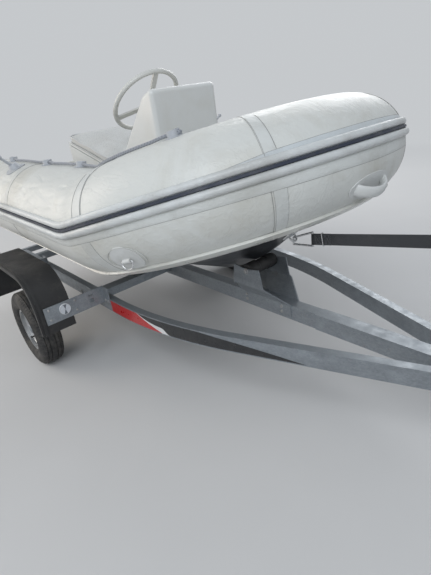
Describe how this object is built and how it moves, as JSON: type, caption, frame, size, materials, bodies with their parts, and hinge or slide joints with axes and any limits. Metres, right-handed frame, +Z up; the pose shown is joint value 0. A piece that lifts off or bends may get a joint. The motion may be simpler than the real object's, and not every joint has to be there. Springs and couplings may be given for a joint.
{
  "type": "rigid inflatable boat on road trailer",
  "caption": "Rigid inflatable tender with jockey console, standing on its galvanised single-axle road trailer with winch and jockey wheel.",
  "frame": {"origin": "on the ground plane, midway between the collar's tail and the tip of the tow coupling, on the middle plane", "axes": "+X to the bow and the tow coupling, +Y to port, +Z up"},
  "size_m": [4.708, 1.9, 1.59],
  "materials": {
    "tube_white": "satin coated fabric",
    "strake_white": "satin",
    "strake_dark": "satin",
    "gelcoat_pale": "gloss",
    "gelcoat_deck": "moulded non-slip",
    "gelcoat_console": "gloss",
    "hull_dark": "gloss",
    "pad_plastic": "matte",
    "helm_plastic": "satin",
    "stainless": "polished",
    "fitting_grey": "matte",
    "fitting_white": "matte",
    "rope_grey": "braided",
    "strap_black": "woven webbing",
    "galvanised": "hot-dip galvanised",
    "zinc_plated": "zinc plated",
    "guard_black": "grained",
    "reflector_white": "prismatic",
    "roller_black": "matte",
    "bunk_carpet": "felt",
    "lamp_red": "gloss",
    "cushion_vinyl": "grained vinyl",
    "rim_silver": "silver",
    "tyre_black": "matte"
  },
  "bodies": {
    "root": {"collar_tube": "tube_white", "rub_strake": "strake_white", "strake_stripe": "strake_dark", "hull_flange": "gelcoat_pale", "hull_bottom": "hull_dark", "cockpit_deck": "gelcoat_deck", "transom": "gelcoat_pale", "motor_pads": "pad_plastic", "console": "gelcoat_console", "helm_boss": "helm_plastic", "seat_box": "gelcoat_console", "seat_hinge": "stainless", "bow_handle": "fitting_white", "lifting_patches": "fitting_white", "lifting_rings": "stainless", "line_holders": "fitting_grey", "grab_lines": "rope_grey", "rowlocks": "fitting_grey", "bow_eye": "stainless", "strap_hook": "stainless", "winch_strap": "strap_black", "side_rails": "galvanised", "keel_beam": "galvanised", "drawbar": "galvanised", "cross_members": "galvanised", "axle_beam": "galvanised", "mudguards": "guard_black", "guard_brackets": "galvanised", "front_reflectors": "reflector_white", "keel_rollers": "roller_black", "roller_brackets": "galvanised", "hull_bunks": "bunk_carpet", "bunk_posts": "galvanised", "winch_post": "galvanised", "bow_stop": "roller_black", "coupling_head": "galvanised", "jockey_tube": "zinc_plated", "light_bar": "galvanised", "rear_lamps": "lamp_red"},
    "helm_wheel": {"steering_wheel": "helm_plastic"},
    "lid": {"seat_lid": "gelcoat_console", "seat_cushion": "cushion_vinyl"},
    "road_wheel_starboard": {"rim_starboard": "rim_silver", "tyre_starboard": "tyre_black"},
    "road_wheel_port": {"rim_port": "rim_silver", "tyre_port": "tyre_black"},
    "winch": {"winch_drum": "zinc_plated", "winch_coil": "strap_black"},
    "jack_leg": {"jockey_leg": "zinc_plated"},
    "jack_fork": {"jockey_fork": "zinc_plated"},
    "jack_wheel": {"jockey_wheel": "tyre_black"}
  },
  "joints": [
    {"name": "steering_turn", "type": "hinge", "parent": "root", "child": "helm_wheel", "pos_m": [-0.3013, 0, 1.3201], "axis": [-0.6947, 0, 0.7193], "range_deg": [-540, 540]},
    {"name": "seat_lid_tilt", "type": "hinge", "parent": "root", "child": "lid", "pos_m": [-0.534, 0, 1.1], "axis": [0, 1, 0], "range_deg": [0, 28]},
    {"name": "wheel_spin_starboard", "type": "hinge", "parent": "root", "child": "road_wheel_starboard", "pos_m": [-0.796, -0.865, 0.243], "axis": [0, 1, 0], "continuous": true},
    {"name": "wheel_spin_port", "type": "hinge", "parent": "root", "child": "road_wheel_port", "pos_m": [-0.796, 0.865, 0.243], "axis": [0, 1, 0], "continuous": true},
    {"name": "winch_turn", "type": "hinge", "parent": "root", "child": "winch", "pos_m": [1.54, 0, 0.892], "axis": [0, 1, 0], "continuous": true},
    {"name": "jack_slide", "type": "slide", "parent": "root", "child": "jack_leg", "axis": [0, 0, 1], "range_m": [-0.03, 0.1]},
    {"name": "jack_swivel", "type": "hinge", "parent": "jack_leg", "child": "jack_fork", "pos_m": [1.924, -0.125, 0.2], "axis": [0, 0, 1], "continuous": true},
    {"name": "jack_wheel_spin", "type": "hinge", "parent": "jack_fork", "child": "jack_wheel", "pos_m": [1.879, -0.125, 0.1], "axis": [0, 1, 0], "continuous": true}
  ]
}
